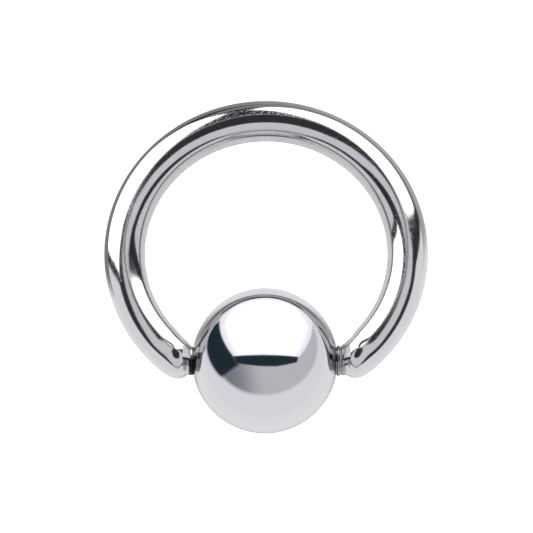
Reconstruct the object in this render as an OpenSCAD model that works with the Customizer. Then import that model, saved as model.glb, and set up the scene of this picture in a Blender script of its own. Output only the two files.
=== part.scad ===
// Captive bead ring: an open circle of steel wire whose two ends hold a dimpled bead.
// It lies on its side on Z = 0, touching at the bead and at the wire opposite the bead.
// The bead is at -Y, and X = 0 halves the ring. Millimetres, origin under the middle of the whole.

/* [Wire] */
// Diameter of the wire
wire_d = 1.6; // [1.2:0.1:2]
// Inside diameter of the ring
inside_d = 9.5; // [8:0.5:14]

/* [Bead] */
// Diameter of the bead
bead_d = 5.7; // [5:0.1:7]
// How far the bead sits to the left of the ring's middle
bead_shift = 0.05; // [0:0.01:0.1]
// How much wider the mouth of a dimple is than the neck in it, at each side
dimple_margin = 0.1; // [0.06:0.01:0.2]
// Depth of a dimple below its mouth
dimple_depth = 0.4; // [0.3:0.05:0.6]
// Diameter of a dimple's flat floor
dimple_floor_d = 0.5; // [0.3:0.05:0.7]

/* [Wire ends] */
// How far behind the bead's dimples the wire's round ends are centred
end_back = 0.77; // [0.7:0.01:1]
// How far outside those centres the bead's axis lies
end_drop = 0.17; // [0.1:0.01:0.3]
// Diameter of the necks that reach to the bead
neck_d = 1.1; // [0.9:0.05:1.2]
// Length of the neck that shows at the left of the bead
neck_left = 0.22; // [0.2:0.02:0.6]
// Length of the neck that shows at the right of the bead
neck_right = 0.42; // [0.2:0.02:0.6]
// How far the wire's end steps out from the neck
shoulder_step = 0.05; // [0.02:0.01:0.1]

/* [Neck ridges] */
// Thickness of a ridge along the neck
ridge_w = 0.12; // [0.06:0.01:0.16]
// How far a ridge stands out of the neck
ridge_h = 0.06; // [0.02:0.01:0.08]
// Distance from one ridge to the next
ridge_pitch = 0.18; // [0.16:0.02:0.3]

/* [Clearances] */
// Gap between a nose and the dimple it sits in
seat_gap = 0.04; // [0.02:0.01:0.08]

/* [Hidden] */
$fn = 96;
steel = [0.8, 0.8, 0.82];
sides = [-1, 1];

wire_r = wire_d / 2;
ring_r = (inside_d + wire_d) / 2;
bead_r = bead_d / 2;
neck_r = neck_d / 2;
shoulder_r = neck_r + shoulder_step;
dimple_r = neck_r + dimple_margin;
dimple_floor_r = dimple_floor_d / 2;

// Distance from the bead's middle to the plane of a dimple's mouth
mouth = sqrt(pow(bead_r, 2) - pow(dimple_r, 2));
// Where the wire's round ends are centred, and the half angle of the gap between them
end_x = mouth + end_back;
gap_angle = asin(end_x / ring_r);
// Distance from the ring's middle to the bead's axis
bead_offset = ring_r * cos(gap_angle) + end_drop;

// Tilt at which the bead and the far side of the wire both touch the ground
rest_tilt = asin((bead_r - wire_r) / (ring_r + bead_offset));
// Place of the ring's middle that sets the whole on Z = 0 and centres it along Y
rest_y = (bead_offset * cos(rest_tilt) + bead_r - ring_r * cos(rest_tilt) - wire_r) / 2;
rest_z = bead_r - bead_offset * sin(rest_tilt);

// Widening of a dimple for each millimetre towards its mouth, and the gap measured across the axis
dimple_slope = (dimple_r - dimple_floor_r) / dimple_depth;
seat_gap_across = seat_gap * sqrt(1 + pow(dimple_slope, 2));
nose_depth = dimple_depth - seat_gap;
nose_tip_r = dimple_r - seat_gap_across - dimple_slope * nose_depth;
// Depth in the dimple at which the neck starts to narrow to the nose
seat_depth = (dimple_r - seat_gap_across - neck_r) / dimple_slope;

function neck_length(side) = side > 0 ? neck_right : neck_left;
// Distance of a wire end's flat face from X = 0
function shoulder_x(side) = mouth + neck_length(side) - side * bead_shift;

// From the ring's own plane, with its middle at the origin, to how it lies at rest
module at_rest() {
    translate([0, rest_y, rest_z]) rotate([-rest_tilt, 0, 0]) children();
}

// Turns a profile of [radius, distance out from the dimple's mouth] round the bead's axis
module turned_at_mouth(side) {
    translate([-bead_shift + side * mouth, -bead_offset, 0]) rotate([0, side * 90, 0])
        rotate_extrude() children();
}

// Half a ball about the origin, on the +Y side of a flat face
module round_end() {
    rotate_extrude(angle = 180) intersection() {
        circle(r = wire_r);
        translate([0, -wire_r]) square([wire_r, wire_d]);
    }
}

// The right half of the bent wire, from the middle of its far side to its round end
module half_wire() {
    intersection() {
        rotate([0, 0, gap_angle - 90]) {
            rotate_extrude(angle = 180) translate([ring_r, 0]) circle(r = wire_r);
            translate([ring_r, 0]) rotate([0, 0, 180]) round_end();
        }
        translate([0, -2 * ring_r, -wire_d]) cube([2 * ring_r, 4 * ring_r, 2 * wire_d]);
    }
}

// Short length in line with the bead's axis, which fills the wire's end out to its flat face
module shoulder(side) {
    turned_at_mouth(side) square([shoulder_r, end_back]);
}

// Everything between the two flat faces, on the bead's side of the ring
module gap_between_ends() {
    translate([-shoulder_x(-1), -ring_r - wire_d, -wire_d])
        cube([shoulder_x(-1) + shoulder_x(1), ring_r + wire_d, 2 * wire_d]);
}

// Neck and nose in one: it runs from inside the wire's end into the dimple
module neck(side) {
    root = (neck_length(side) + end_back) / 2;
    turned_at_mouth(side) polygon([
        [0, -nose_depth], [nose_tip_r, -nose_depth], [neck_r, -seat_depth], [neck_r, root], [0, root]
    ]);
}

module ridges(side) {
    first = seat_gap + ridge_w / 2;
    last = neck_length(side) - ridge_w / 2;
    for (along = [first : ridge_pitch : last])
        turned_at_mouth(side) translate([0, along - ridge_w / 2]) square([neck_r + ridge_h, ridge_w]);
}

module ring() {
    color(steel) at_rest() {
        difference() {
            union() {
                half_wire();
                mirror([1, 0, 0]) half_wire();
                for (side = sides) shoulder(side);
            }
            gap_between_ends();
        }
        for (side = sides) {
            neck(side);
            ridges(side);
        }
    }
}

module dimple(side) {
    turned_at_mouth(side) polygon([
        [0, -dimple_depth], [dimple_floor_r, -dimple_depth], [dimple_r, 0],
        [dimple_r, bead_r - mouth + seat_gap], [0, bead_r - mouth + seat_gap]
    ]);
}

module bead() {
    color(steel) at_rest() difference() {
        translate([-bead_shift, -bead_offset, 0]) sphere(r = bead_r);
        for (side = sides) dimple(side);
    }
}

ring();
bead();
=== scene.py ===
"""Looks for a captive bead ring of polished steel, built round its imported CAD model. Metres, Z up."""

import math

import bmesh
import bpy
from mathutils import Matrix, Vector


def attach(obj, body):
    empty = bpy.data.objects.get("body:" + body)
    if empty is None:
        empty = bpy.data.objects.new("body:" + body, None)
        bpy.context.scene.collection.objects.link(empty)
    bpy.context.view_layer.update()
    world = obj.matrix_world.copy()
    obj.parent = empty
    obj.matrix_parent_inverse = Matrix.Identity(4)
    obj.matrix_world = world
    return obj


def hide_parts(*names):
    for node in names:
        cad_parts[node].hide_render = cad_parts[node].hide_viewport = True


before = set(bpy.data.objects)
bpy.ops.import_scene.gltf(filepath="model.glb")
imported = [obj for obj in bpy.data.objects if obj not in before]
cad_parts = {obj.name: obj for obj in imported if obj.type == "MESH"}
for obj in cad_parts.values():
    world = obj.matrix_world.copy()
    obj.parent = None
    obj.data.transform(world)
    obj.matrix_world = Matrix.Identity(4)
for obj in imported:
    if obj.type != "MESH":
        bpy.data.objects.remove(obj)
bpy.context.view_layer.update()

MM = 0.001

# The ring and bead, in the ring's own plane: x to the right, y away from the bead
WIRE_R = 0.8 * MM
RING_R = 5.55 * MM
BEAD_R = 2.85 * MM
BEAD_SHIFT = 0.05 * MM
BEAD_OFFSET = 4.4404 * MM
REST_TILT = math.radians(11.841)
RING_MIDDLE = Vector((0, 0.482, 1.9388)) * MM

# The bead's dimples and the wire's necks, left at -1 and right at 1
DIMPLE_R = 0.65 * MM
DIMPLE_FLOOR_R = 0.25 * MM
DIMPLE_DEPTH = 0.4 * MM
DIMPLE_EDGE = 0.03 * MM
DIMPLE_EDGE_DROP = 0.15 * DIMPLE_EDGE
MOUTH = math.sqrt(BEAD_R ** 2 - DIMPLE_R ** 2)
NECK_R = 0.55 * MM
NECK_LENGTH = {-1: 0.22 * MM, 1: 0.42 * MM}
RIDGE_W = 0.12 * MM
RIDGE_RISE = {-1: 0.03 * MM, 1: 0.06 * MM}
RIDGE_PITCH = 0.18 * MM
RIDGE_SQUARENESS = 4
SEAT_GAP = 0.04 * MM
NOSE_DEPTH = DIMPLE_DEPTH - SEAT_GAP
NOSE_EDGE = 0.01 * MM

# How the wire turns from its circle to the neck: angle, and distances from the ring's middle
TURN_START = math.radians(48)
END_INSIDE = {-1: 4.80 * MM, 1: 4.83 * MM}
END_OUTSIDE = {-1: 5.89 * MM, 1: 5.96 * MM}
ROUNDED_SHARE = 0.6
ROUNDING_POWER = 3
SHOULDER = 0.06 * MM
FILLET = {-1: 0.22 * MM, 1: 0.33 * MM}
FILLET_POWER = 1.3

# Mesh steps: round a section, along the circle, along each turn and neck, and from equator to dimple
AROUND = 96
ARC_STEPS = 300
TURN_STEPS = 28
NECK_STEPS = 48
BEAD_STEPS = 90
SHARP_ANGLE = math.radians(40)


def smoothstep(value, low, high):
    share = min(max((value - low) / (high - low), 0), 1)
    return share * share * (3 - 2 * share)


def at_rest(point):
    """A point given from the ring's middle in the ring's own plane, where it lies at rest."""
    return RING_MIDDLE + Matrix.Rotation(-REST_TILT, 3, "X") @ Vector(point)


def circle(centre, across, radius):
    """Points round a wire section: centre and the direction across it lie in the ring's plane."""
    points = []
    for i in range(AROUND):
        angle = 2 * math.pi * i / AROUND
        out = Vector(across) * (radius * math.cos(angle)) + Vector((0, 0, radius * math.sin(angle)))
        points.append(Vector(centre) + out)
    return points


def distance_to_arc(pivot, ray, radius):
    """How far along the ray from the pivot a circle about the ring's middle lies."""
    along = pivot.dot(ray)
    return -along + math.sqrt(along ** 2 + radius ** 2 - pivot.length_squared)


def turn_sections(side):
    """Sections from the wire's circle to its rounded end, fanned about a point inside the ring."""
    end_x = MOUTH + NECK_LENGTH[side] + SHOULDER - side * BEAD_SHIFT
    pivot = Vector((end_x, -end_x / math.tan(TURN_START), 0))
    sections = []
    for i in range(TURN_STEPS + 1):
        share = i / TURN_STEPS
        fan = TURN_START * (1 - share)
        ray = Vector((math.sin(fan), -math.cos(fan), 0))
        rounded = max((share - (1 - ROUNDED_SHARE)) / ROUNDED_SHARE, 0) ** ROUNDING_POWER
        inside = RING_R - WIRE_R
        inside += (END_INSIDE[side] - inside) * smoothstep(share, 0, 1)
        outside = RING_R + WIRE_R
        outside += (END_OUTSIDE[side] - outside) * rounded
        near = distance_to_arc(pivot, ray, inside)
        far = distance_to_arc(pivot, ray, outside)
        sections.append((pivot + ray * (near + far) / 2, -ray, (far - near) / 2))
    return sections


def ridge_places(length):
    """Where the ridges' middles lie, as distances out from the dimple's mouth."""
    rounding = 0.001 * MM
    places = []
    place = SEAT_GAP + RIDGE_W / 2
    while place <= length - RIDGE_W / 2 + rounding:
        places.append(place)
        place += RIDGE_PITCH
    return places


def fillet(side, out):
    """How far the neck has widened to the wire's end, at a distance out from the dimple's mouth."""
    root = NECK_LENGTH[side] + SHOULDER
    return max(1 - (root - out) / FILLET[side], 0) ** FILLET_POWER


def nose_profile():
    """Distance out from the dimple's mouth and radius, from the neck to the tip of the nose."""
    slope = (DIMPLE_R - DIMPLE_FLOOR_R) / DIMPLE_DEPTH
    gap_across = SEAT_GAP * math.sqrt(1 + slope ** 2)
    tip_r = DIMPLE_R - gap_across - slope * NOSE_DEPTH
    seat_depth = (DIMPLE_R - gap_across - NECK_R) / slope
    return [(-seat_depth, NECK_R), (-NOSE_DEPTH + NOSE_EDGE, tip_r + NOSE_EDGE), (-NOSE_DEPTH, tip_r)]


def neck_profile(side, end_r):
    """Distance out from the dimple's mouth and radius, from the wire's end to the tip of the nose."""
    root = NECK_LENGTH[side] + SHOULDER
    profile = []
    for i in range(1, NECK_STEPS + 1):
        out = root * (1 - i / NECK_STEPS)
        radius = NECK_R + (end_r - NECK_R) * fillet(side, out)
        for place in ridge_places(NECK_LENGTH[side]):
            along = min(abs(out - place) / (RIDGE_W / 2), 1)
            radius = max(radius, NECK_R + RIDGE_RISE[side] * (1 - along ** RIDGE_SQUARENESS))
        profile.append((out, radius))
    return profile + nose_profile()


def neck_sections(side):
    """Sections from the wire's rounded end to the tip of its nose, in line with the bead's axis."""
    end, _, end_r = turn_sections(side)[-1]
    sections = []
    for out, radius in neck_profile(side, end_r):
        drop = (BEAD_OFFSET + end.y) * fillet(side, out)
        centre = Vector((MOUTH + out - side * BEAD_SHIFT, drop - BEAD_OFFSET, 0))
        sections.append((centre, Vector((0, 1, 0)), radius))
    return sections


def mirrored(section):
    centre, across, radius = section
    return Vector((-centre.x, centre.y, 0)), Vector((-across.x, across.y, 0)), radius


def ring_sections():
    """Every section of the wire, from the tip of the left nose round to the tip of the right one."""
    left = [mirrored(section) for section in turn_sections(-1) + neck_sections(-1)]
    sections = left[::-1]
    for i in range(1, ARC_STEPS):
        angle = TURN_START + (2 * math.pi - 2 * TURN_START) * i / ARC_STEPS
        out = Vector((-math.sin(angle), -math.cos(angle), 0))
        sections.append((out * RING_R, -out, WIRE_R))
    return sections + turn_sections(1) + neck_sections(1)


def link_object(name, data):
    thing = bpy.data.objects.new(name, data)
    bpy.context.collection.objects.link(thing)
    return thing


def mesh_object(name, mesh):
    data = bpy.data.meshes.new(name)
    mesh.to_mesh(data)
    mesh.free()
    return link_object(name, data)


def lathe_mesh(name, loops):
    """A closed smooth mesh through loops of points, capped at both ends."""
    mesh = bmesh.new()
    rows = [[mesh.verts.new(at_rest(point)) for point in loop] for loop in loops]
    for a, b in zip(rows, rows[1:]):
        for i in range(AROUND):
            j = (i + 1) % AROUND
            mesh.faces.new((a[i], a[j], b[j], b[i]))
    mesh.faces.new(rows[0][::-1])
    mesh.faces.new(rows[-1])
    bmesh.ops.recalc_face_normals(mesh, faces=mesh.faces)
    for face in mesh.faces:
        face.smooth = True
    piece = mesh_object(name, mesh)
    piece.data.set_sharp_from_angle(angle=SHARP_ANGLE)
    return piece


# Where the steel's colour is painted darker as shade, on the bend's inner side and in the crevices by the
# bead, for the attributes that its material reads
LOW_SIDE = math.radians(19.801)
INNER_LEAN = 0.42
INNER_SIDE_EDGE = (0.19, 0.35)
# How the painted shade on the necks and noses spreads: its lower side, seat, reach and amount on each side
SHADE_LOW_SIDE_EDGE = (-0.05, 0.3)
SHADE_SEAT = 0.05 * MM
SHADE_REACH = 0.75
SHADE_END = 0.03 * MM
LEFT_SHADE = 0.25
RIGHT_SHADE = 0.5


def inner_side(centre, angle):
    """How much of the bend's inner side a point is on. Its colour is painted darker there as shade, and
    speckled more for a rougher finish. It reaches further round near the bead.
    """
    return smoothstep(math.cos(angle) - INNER_LEAN * centre.y / centre.length, *INNER_SIDE_EDGE)


def painted_crevice_shade(centre, angle):
    """How much painted shade a point of the ring has: it lies on the necks and noses by the bead, full on the
    noses, and on the left neck mostly on the lower side.
    """
    if centre.y > 0:
        return 0
    side = 1 if centre.x > 0 else -1
    out = side * (centre.x + BEAD_SHIFT) - MOUTH
    length = NECK_LENGTH[side]
    low = 1 - smoothstep(math.cos(angle - LOW_SIDE), *SHADE_LOW_SIDE_EDGE)
    seat = 1 - smoothstep(out, 0, SHADE_SEAT)
    reach = 1 - smoothstep(out, SHADE_REACH * length, length + SHADE_END)
    amount = LEFT_SHADE + (1 - LEFT_SHADE) * low if side < 0 else RIGHT_SHADE
    return max(amount * reach, seat)


def dimple(radius, _angle):
    """How much painted shade a point of the bead has: only its dimples are shaded."""
    return 1 if radius <= DIMPLE_R else 0


def mark(piece, name, rows, amount):
    """Stores for the material how much of something each point has, from its row and its angle."""
    values = []
    for row in rows:
        values += [amount(row, 2 * math.pi * i / AROUND) for i in range(AROUND)]
    piece.data.attributes.new(name, "FLOAT", "POINT").data.foreach_set("value", values)


def make_ring():
    sections = ring_sections()
    piece = lathe_mesh("steel_ring", [circle(*section) for section in sections])
    centres = [section[0] for section in sections]
    mark(piece, "inner_side", centres, inner_side)
    mark(piece, "painted_crevice_shade", centres, painted_crevice_shade)
    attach(piece, "ring")
    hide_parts("ring")
    return piece


def half_bead_profile():
    """Distance from the bead's middle along its axis and radius, from its equator to a dimple's floor."""
    edge_angle = math.asin((DIMPLE_R + DIMPLE_EDGE) / BEAD_R)
    profile = []
    for i in range(BEAD_STEPS + 1):
        angle = math.pi / 2 + (edge_angle - math.pi / 2) * i / BEAD_STEPS
        profile.append((BEAD_R * math.cos(angle), BEAD_R * math.sin(angle)))
    profile.append((MOUTH - DIMPLE_EDGE_DROP, DIMPLE_R))
    profile.append((MOUTH - DIMPLE_EDGE, DIMPLE_R - DIMPLE_EDGE))
    profile.append((MOUTH - DIMPLE_DEPTH, DIMPLE_FLOOR_R))
    profile.append((MOUTH - DIMPLE_DEPTH, DIMPLE_FLOOR_R / 2))
    return profile


def make_bead():
    half = half_bead_profile()
    profile = [(-x, r) for x, r in half[:0:-1]] + half
    middle = Vector((-BEAD_SHIFT, -BEAD_OFFSET, 0))
    loops = []
    for x, radius in profile:
        loop = []
        for i in range(AROUND):
            angle = 2 * math.pi * i / AROUND
            loop.append(middle + Vector((x, radius * math.cos(angle), radius * math.sin(angle))))
        loops.append(loop)
    piece = lathe_mesh("steel_bead", loops)
    mark(piece, "painted_crevice_shade", [radius for _, radius in profile], dimple)
    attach(piece, "bead")
    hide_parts("bead")
    return piece


# What both steels share. Scales are per metre, and the rest are shares
CLOUD_SCALE = 1000
CLOUD_DETAIL = 3
CLOUD_EDGE = (0.35, 0.65)
GLOSS_RANGE = (0.8, 1.25)
GRAIN_PER_PIT = 1.5
GRAIN_DETAIL = 2
GRAIN_EDGE = (0.3, 0.7)
GRAIN_RELIEF = 0.2
OUTER_SPECKLE = 0.35
PIT_EDGE = (0.05, 0.35)
# The dark colour painted into the crevices by the bead as shade
CREVICE_SHADE_COLOUR = (0.03, 0.026, 0.023, 1)


def add_node(nodes, kind, values=None):
    """A new node, with values for its inputs."""
    node = nodes.new("ShaderNode" + kind)
    for name, value in (values or {}).items():
        node.inputs[name].default_value = value
    return node


def stored(nodes, name):
    """What mark stored under a name. It is 0 on a piece that has none."""
    node = add_node(nodes, "Attribute")
    node.attribute_name = name
    return node.outputs["Fac"]


def map_range(nodes, source, target=(0, 1), interpolation="LINEAR"):
    values = {"From Min": source[0], "From Max": source[1], "To Min": target[0], "To Max": target[1]}
    node = add_node(nodes, "MapRange", values)
    node.interpolation_type = interpolation
    return node


def multiplied(nodes, links, base, amount, colour=(1, 1, 1, 1)):
    """A node that multiplies the base by a colour, by as much as the amount says."""
    node = add_node(nodes, "MixRGB", {"Color2": colour})
    node.blend_type = "MULTIPLY"
    links.new(base, node.inputs["Color1"])
    links.new(amount, node.inputs["Fac"])
    return node


def steel_colour(nodes, links, clouds, grain, colour, tint, inner_shade, mottle):
    """Clouds between two tones, painted darker as shade on the inner side and in crevices, and finely
    speckled, more on the inner side.
    """
    ramp = add_node(nodes, "ValToRGB")
    for element, position, tone in zip(ramp.color_ramp.elements, CLOUD_EDGE, (tint, colour)):
        element.position = position
        element.color = (*tone, 1)
    links.new(clouds, ramp.inputs["Fac"])
    side = stored(nodes, "inner_side")
    # Painted shade: the ring's inner side is darkened
    shade = multiplied(nodes, links, ramp.outputs["Color"], side, (inner_shade, inner_shade, inner_shade, 1))
    # Painted shade: the crevices by the bead are darkened with the shade colour
    shaded_crevices = multiplied(nodes, links, shade.outputs["Color"], stored(nodes, "painted_crevice_shade"), CREVICE_SHADE_COLOUR)
    share = map_range(nodes, (0, 1), (OUTER_SPECKLE, 1))
    links.new(side, share.inputs["Value"])
    specks = map_range(nodes, GRAIN_EDGE, (1 - mottle, 1 + mottle))
    links.new(grain, specks.inputs["Value"])
    speckled = multiplied(nodes, links, shaded_crevices.outputs["Color"], share.outputs["Result"])
    links.new(specks.outputs["Result"], speckled.inputs["Color2"])
    return speckled.outputs["Color"]


def steel_relief(nodes, links, pits, grain, pit_depth):
    """The direction that the surface faces, with scattered pits and fine polishing marks."""
    hollow = map_range(nodes, PIT_EDGE, interpolation="SMOOTHSTEP")
    links.new(pits, hollow.inputs["Value"])
    marks = add_node(nodes, "Math", {1: GRAIN_RELIEF})
    marks.operation = "MULTIPLY_ADD"
    links.new(grain, marks.inputs[0])
    links.new(hollow.outputs["Result"], marks.inputs[2])
    bump = add_node(nodes, "Bump", {"Strength": 1.0, "Distance": pit_depth})
    links.new(marks.outputs["Value"], bump.inputs["Height"])
    return bump.outputs["Normal"]


def steel(name, colour, tint, roughness, pit_size, pit_depth, inner_shade, mottle):
    """Polished steel: faint clouds in colour and gloss, painted shade on the inner side and in crevices, fine
    polishing marks and pits.
    """
    material = bpy.data.materials.new(name)
    material.use_nodes = True
    nodes, links = material.node_tree.nodes, material.node_tree.links
    place = add_node(nodes, "TexCoord")
    clouds = add_node(nodes, "TexNoise", {"Scale": CLOUD_SCALE, "Detail": CLOUD_DETAIL})
    grain = add_node(nodes, "TexNoise", {"Scale": GRAIN_PER_PIT / pit_size, "Detail": GRAIN_DETAIL})
    pits = add_node(nodes, "TexVoronoi", {"Scale": 1 / pit_size})
    for texture in (clouds, grain, pits):
        links.new(place.outputs["Object"], texture.inputs["Vector"])
    gloss = map_range(nodes, (0, 1), (roughness * GLOSS_RANGE[0], roughness * GLOSS_RANGE[1]))
    links.new(clouds.outputs["Fac"], gloss.inputs["Value"])
    tone = steel_colour(nodes, links, clouds.outputs["Fac"], grain.outputs["Fac"], colour, tint, inner_shade, mottle)
    normal = steel_relief(nodes, links, pits.outputs["Distance"], grain.outputs["Fac"], pit_depth)
    shader = nodes["Principled BSDF"]
    shader.inputs["Metallic"].default_value = 1.0
    links.new(tone, shader.inputs["Base Color"])
    links.new(gloss.outputs["Result"], shader.inputs["Roughness"])
    links.new(normal, shader.inputs["Normal"])
    return material


# The camera: long lens, nearly overhead, with the bead nearest
CAMERA_TILT = math.radians(7.96)
CAMERA_DISTANCE = 0.6
FRAME_WIDTH = 20.906 * MM
FRAME_DROP = 0.490 * MM
FRAME_RIGHT = 0.012 * MM
TO_CAMERA = Vector((0, -math.sin(CAMERA_TILT), math.cos(CAMERA_TILT)))
IMAGE_UP = Vector((0, math.cos(CAMERA_TILT), math.sin(CAMERA_TILT)))
IMAGE_RIGHT = Vector((1, 0, 0))


def make_camera():
    data = bpy.data.cameras.new("camera")
    data.lens = data.sensor_width * CAMERA_DISTANCE / FRAME_WIDTH
    data.clip_start = CAMERA_DISTANCE / 10
    data.clip_end = CAMERA_DISTANCE * 10
    camera = link_object("camera", data)
    target = RING_MIDDLE - IMAGE_UP * FRAME_DROP + IMAGE_RIGHT * FRAME_RIGHT
    camera.location = target + TO_CAMERA * CAMERA_DISTANCE
    camera.rotation_euler = TO_CAMERA.to_track_quat("Z", "Y").to_euler()
    bpy.context.scene.camera = camera


def direction(right, up):
    """A direction in degrees from the line to the camera: to the right and up in its picture."""
    away = math.hypot(right, up)
    if away == 0:
        return TO_CAMERA.copy()
    across = (IMAGE_RIGHT * right + IMAGE_UP * up) / away
    return TO_CAMERA * math.cos(math.radians(away)) + across * math.sin(math.radians(away))


def spot(colour, centre, radius, soft):
    """A round patch of a room's wall: its centre, radius and soft edge are angles in degrees."""
    return colour, [(direction(*centre), radius)], soft


def patch(colour, corners, soft):
    """A patch of a room's wall between straight edges, from its corners in order."""
    points = [direction(*corner) for corner in corners]
    inside = sum(points, Vector())
    edges = []
    for a, b in zip(points, points[1:] + points[:1]):
        pole = a.cross(b).normalized()
        if pole.dot(inside) < 0:
            pole.negate()
        edges.append((pole, 90))
    return colour, edges, soft


def light_only(thing, name, pieces):
    """Lets a light or a glowing thing reach nothing but the pieces."""
    group = bpy.data.collections.new(name)
    for piece in pieces:
        group.objects.link(piece)
    thing.light_linking.receiver_collection = group


def make_room(name, piece, middle, radius, colour, layers, second_bounce):
    """A glowing ball of painted patches that only one piece mirrors, dimmer in a mirror's mirror image."""
    mesh = bmesh.new()
    bmesh.ops.create_icosphere(mesh, subdivisions=4, radius=radius, matrix=Matrix.Translation(middle))
    room = mesh_object(name, mesh)
    room.data.materials.append(room_paint(name, middle, colour, layers, second_bounce))
    light_only(room, "mirrors_" + name, [piece])
    room.visible_camera = False
    room.visible_diffuse = False
    room.visible_shadow = False


def outward(nodes, links, middle):
    """The direction from a room's middle to the point of its wall."""
    place = add_node(nodes, "NewGeometry")
    offset = add_node(nodes, "VectorMath", {1: middle})
    offset.operation = "SUBTRACT"
    links.new(place.outputs["Position"], offset.inputs[0])
    towards = add_node(nodes, "VectorMath")
    towards.operation = "NORMALIZE"
    links.new(offset.outputs["Vector"], towards.inputs[0])
    return towards.outputs["Vector"]


def cover(nodes, links, towards, edges, soft):
    """How much a patch covers a direction: as much as the edge that it lies least within."""
    covered = None
    for pole, limit in edges:
        along = add_node(nodes, "VectorMath", {1: pole})
        along.operation = "DOT_PRODUCT"
        links.new(towards, along.inputs[0])
        fade = (math.cos(math.radians(limit + soft / 2)), math.cos(math.radians(limit - soft / 2)))
        edge = map_range(nodes, fade, interpolation="SMOOTHSTEP")
        links.new(along.outputs["Value"], edge.inputs["Value"])
        if covered is None:
            covered = edge.outputs["Result"]
            continue
        both = add_node(nodes, "Math")
        both.operation = "MINIMUM"
        links.new(covered, both.inputs[0])
        links.new(edge.outputs["Result"], both.inputs[1])
        covered = both.outputs["Value"]
    return covered


def painted(nodes, links, towards, colour, layers):
    """The wall's colour, with every layer of patches laid over the ones before it."""
    below = None
    for paint, edges, soft in layers:
        mix = add_node(nodes, "MixRGB", {"Color1": (*colour, 1), "Color2": (*paint, 1)})
        links.new(cover(nodes, links, towards, edges, soft), mix.inputs["Fac"])
        if below is not None:
            links.new(below, mix.inputs["Color1"])
        below = mix.outputs["Color"]
    return below


def room_paint(name, middle, colour, layers, second_bounce):
    """Light of the painted colours, added to whatever lies behind the wall."""
    material = bpy.data.materials.new(name)
    material.use_nodes = True
    material.cycles.emission_sampling = "NONE"
    nodes, links = material.node_tree.nodes, material.node_tree.links
    nodes.clear()
    path = add_node(nodes, "LightPath")
    fade = map_range(nodes, (1, 2), (1, second_bounce))
    glow = add_node(nodes, "Emission")
    clear = add_node(nodes, "BsdfTransparent")
    total = add_node(nodes, "AddShader")
    output = add_node(nodes, "OutputMaterial")
    links.new(painted(nodes, links, outward(nodes, links, middle), colour, layers), glow.inputs["Color"])
    links.new(path.outputs["Glossy Depth"], fade.inputs["Value"])
    links.new(fade.outputs["Result"], glow.inputs["Strength"])
    links.new(glow.outputs["Emission"], total.inputs[0])
    links.new(clear.outputs["BSDF"], total.inputs[1])
    links.new(total.outputs["Shader"], output.inputs["Surface"])
    return material


# What the bead mirrors, in degrees from the line to the camera as they are seen from the room's middle
BEAD_ROOM_RADIUS = 14 * MM
BEAD_ROOM_COLOUR = (0.83, 0.82, 0.85)
BEAD_SECOND_BOUNCE = 0.6
INK = (0.016, 0.029, 0.040)
BEAD_LAYERS = [
    spot((0.57, 0.56, 0.59), (0, 31), 82, 12),
    spot((0.21, 0.22, 0.245), (-75, -25), 43, 60),
    spot((0.83, 0.82, 0.85), (0, -149), 98, 8),
    patch(INK, [(-46, 7), (-76, 68), (-100, 50), (-98, 20), (-90, -8), (-66, -25), (-38, -6)], 6),
    patch((1.02, 1.0, 1.06), [(-45.5, 6.5), (-76, 66), (-60, 110), (60, 110), (80, 64), (51, 6)], 2),
    patch((1.8, 1.8, 1.8), [(-37, 12), (-60, 60), (-49, 86), (49, 86), (64, 58), (42, 11)], 20),
    patch(INK, [(-46, 7), (49, 6), (47, -2), (35, -4.5), (10, -8.5), (-10, -7), (-40, -5)], 2),
]

# What the ring mirrors
RING_ROOM_RADIUS = 1.0
RING_ROOM_COLOUR = (0.80, 0.80, 0.82)
RING_SECOND_BOUNCE = 0.35
DARK = (0.035, 0.035, 0.04)
WHITE = (2.2, 2.2, 2.2)
GREY = (0.66, 0.66, 0.68)
RING_LAYERS = [
    spot((0.27, 0.27, 0.28), (25, 150), 62, 12),
    patch(DARK, [(-1, 39), (-47, 22), (-83, 18), (-120, 14), (-80, 95), (0, 110)], 3),
    patch(DARK, [(1, 39), (47, 28), (75, 37), (92, 47), (60, 100), (0, 110)], 3),
    patch((0.26, 0.26, 0.27), [(-25, 84), (80, 57), (100, 60), (90, 85), (60, 105), (0, 122), (-30, 112)], 8),
    spot(DARK, (0, 0), 55, 5),
    spot(DARK, (-20, 0), 41, 6),
    spot(DARK, (22, 0), 43, 6),
    spot((0.45, 0.45, 0.46), (0, -38), 24, 14),
    patch(WHITE, [(-2, 41.5), (-46, 29), (-82, 27), (-119, 26), (-95, 80), (-68, 95), (-37, 96), (-17, 82),
                  (-10.5, 75)], 2),
    patch(WHITE, [(1, 41.5), (11, 42.6), (24, 44.6), (36, 46.6), (48, 48.6), (61, 51), (75, 55), (60, 81),
                  (36, 94), (10.5, 93), (0, 87), (-3.8, 73)], 2),
    patch(DARK, [(-3, 41.5), (-7, 43.5), (-18, 43.5), (-33, 36.8), (-45, 29.3), (-46, 10), (-10, 20)], 2),
    patch(DARK, [(-2.5, 41), (2.5, 41), (2.5, 59), (-3.8, 73), (-10.5, 75), (-10, 65), (-7.5, 51)], 2),
    patch(GREY, [(-8, 40), (13.4, 41.4), (26.3, 39), (41, 27.7), (47.4, 10), (47.6, -8.4), (39, -27.5),
                 (24, -41.6), (0, -47.6), (-23.5, -40.7), (-38, -25.7), (-47, -9), (-38.5, 14.8),
                 (-29, 29.3), (-18.5, 37.5)], 3),
    patch(DARK, [(-5, 39.4), (5, 39.4), (17, 31), (23, 18), (20, 5), (12, -4), (0, -7), (-12, -4.5), (-19, 3),
                 (-19, 10), (-18, 22), (-11, 33)], 3),
]

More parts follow.
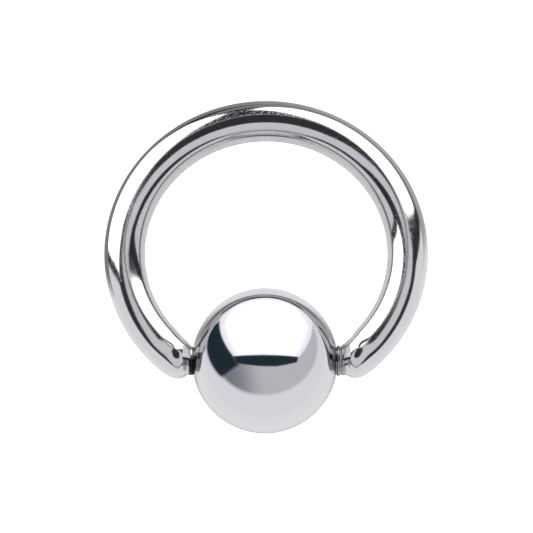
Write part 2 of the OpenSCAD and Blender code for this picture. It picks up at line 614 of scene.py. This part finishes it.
# The floor and its light. Floor shades are shares of light given back, with where they change
NEAR_FLOOR_RADIUS = 13.7 * MM
WIDE_FLOOR_RADIUS = 3.0
WIDE_FLOOR_DROP = 0.01 * MM
FLOOR_SEGMENTS = 128
OPEN_FLOOR = 0.8
FLOOR_IN_RING = 0.74
RING_HOLE_EDGE = (5.6 * MM, 6.2 * MM)
SHADED_WAY = (-0.149, 0.989, 0)
SHADED_EDGE = (-0.4 * MM, 1.4 * MM)
SHADE_PLACES = (-3 * MM, 5 * MM)
SHADES = (0.22, 0.42)
FLOOR_GLOW = 0.95
LAMP_SIZE = 1.2
LAMP_HEIGHT = 1
LAMP_POWER = 3.4 * math.pi * LAMP_SIZE ** 2


def make_sheet(name, radius, place, steel_mirrors_it, paint):
    """A round sheet of the pale floor."""
    mesh = bmesh.new()
    bmesh.ops.create_circle(mesh, cap_ends=True, segments=FLOOR_SEGMENTS, radius=radius)
    sheet = mesh_object(name, mesh)
    sheet.location = place
    sheet.visible_glossy = steel_mirrors_it
    sheet.data.materials.append(paint)
    return sheet


def blended(nodes, links, factor, low, high):
    """A value from low, a number, to high, an output, by as much as factor says."""
    node = add_node(nodes, "Mix", {"A": low})
    links.new(factor, node.inputs["Factor"])
    links.new(high, node.inputs["B"])
    return node.outputs["Result"]


def floor_shade(nodes, links):
    """Pale inside the ring and on the bead's side, shaded beyond the ring's middle, most at the left."""
    place = add_node(nodes, "NewGeometry")
    away = add_node(nodes, "VectorMath", {1: (0, RING_MIDDLE.y, 0)})
    away.operation = "DISTANCE"
    behind = add_node(nodes, "VectorMath", {1: SHADED_WAY})
    behind.operation = "DOT_PRODUCT"
    sideways = add_node(nodes, "SeparateXYZ")
    outside = map_range(nodes, RING_HOLE_EDGE, interpolation="SMOOTHSTEP")
    shaded = map_range(nodes, SHADED_EDGE, interpolation="SMOOTHSTEP")
    shade = map_range(nodes, SHADE_PLACES, SHADES, "SMOOTHSTEP")
    links.new(place.outputs["Position"], away.inputs[0])
    links.new(place.outputs["Position"], behind.inputs[0])
    links.new(place.outputs["Position"], sideways.inputs["Vector"])
    links.new(away.outputs["Value"], outside.inputs["Value"])
    links.new(behind.outputs["Value"], shaded.inputs["Value"])
    links.new(sideways.outputs["X"], shade.inputs["Value"])
    around = blended(nodes, links, shaded.outputs["Result"], OPEN_FLOOR, shade.outputs["Result"])
    return blended(nodes, links, outside.outputs["Result"], FLOOR_IN_RING, around)


def floor_paint():
    """Pale and matt, with the light and shade that the steel mirrors. Only the camera sees its glow."""
    material = bpy.data.materials.new("pale_floor")
    material.use_nodes = True
    nodes, links = material.node_tree.nodes, material.node_tree.links
    shader = nodes["Principled BSDF"]
    shader.inputs["Roughness"].default_value = 1.0
    shader.inputs["Specular IOR Level"].default_value = 0.0
    shader.inputs["Emission Color"].default_value = (1, 1, 1, 1)
    links.new(floor_shade(nodes, links), shader.inputs["Base Color"])
    path = add_node(nodes, "LightPath")
    lift = map_range(nodes, (0, 1), (0, FLOOR_GLOW))
    links.new(path.outputs["Is Camera Ray"], lift.inputs["Value"])
    links.new(lift.outputs["Result"], shader.inputs["Emission Strength"])
    return material


def make_floor(middle):
    """A near sheet that the steel mirrors, and a wide one just below that it doesn't mirror."""
    paint = floor_paint()
    near = make_sheet("floor_near", NEAR_FLOOR_RADIUS, (0, middle.y, 0), True, paint)
    wide = make_sheet("floor_wide", WIDE_FLOOR_RADIUS, (0, 0, -WIDE_FLOOR_DROP), False, paint)
    return near, wide


def make_floor_light(floor):
    data = bpy.data.lights.new("floor_light", "AREA")
    data.size = LAMP_SIZE
    data.energy = LAMP_POWER
    lamp = link_object("floor_light", data)
    lamp.location = (0, 0, LAMP_HEIGHT)
    light_only(lamp, "lit_by_floor_light", floor)


def make_world():
    """A white surrounding that only the camera sees."""
    world = bpy.data.worlds.new("studio")
    bpy.context.scene.world = world
    world.use_nodes = True
    nodes, links = world.node_tree.nodes, world.node_tree.links
    path = add_node(nodes, "LightPath")
    links.new(path.outputs["Is Camera Ray"], nodes["Background"].inputs["Strength"])
    nodes["Background"].inputs["Color"].default_value = (1, 1, 1, 1)


ring = make_ring()
bead = make_bead()
# The ring's inner side is painted darker as shade; the bead has no such shade
ring.data.materials.append(steel(
    "ring_steel", colour=(0.80, 0.80, 0.82), tint=(0.77, 0.77, 0.79), roughness=0.07,
    pit_size=0.06 * MM, pit_depth=0.0007 * MM, inner_shade=0.82, mottle=0.2))
bead.data.materials.append(steel(
    "bead_steel", colour=(0.80, 0.79, 0.82), tint=(0.79, 0.78, 0.81), roughness=0.06,
    pit_size=0.1 * MM, pit_depth=0.0001 * MM, inner_shade=1.0, mottle=0.02))
make_camera()
bead_middle = at_rest((-BEAD_SHIFT, -BEAD_OFFSET, 0))
make_floor_light(make_floor(bead_middle))
make_world()
make_room("bead_room", bead, bead_middle, BEAD_ROOM_RADIUS, BEAD_ROOM_COLOUR, BEAD_LAYERS, BEAD_SECOND_BOUNCE)
make_room("ring_room", ring, RING_MIDDLE, RING_ROOM_RADIUS, RING_ROOM_COLOUR, RING_LAYERS, RING_SECOND_BOUNCE)
bpy.context.scene.view_settings.view_transform = "Standard"
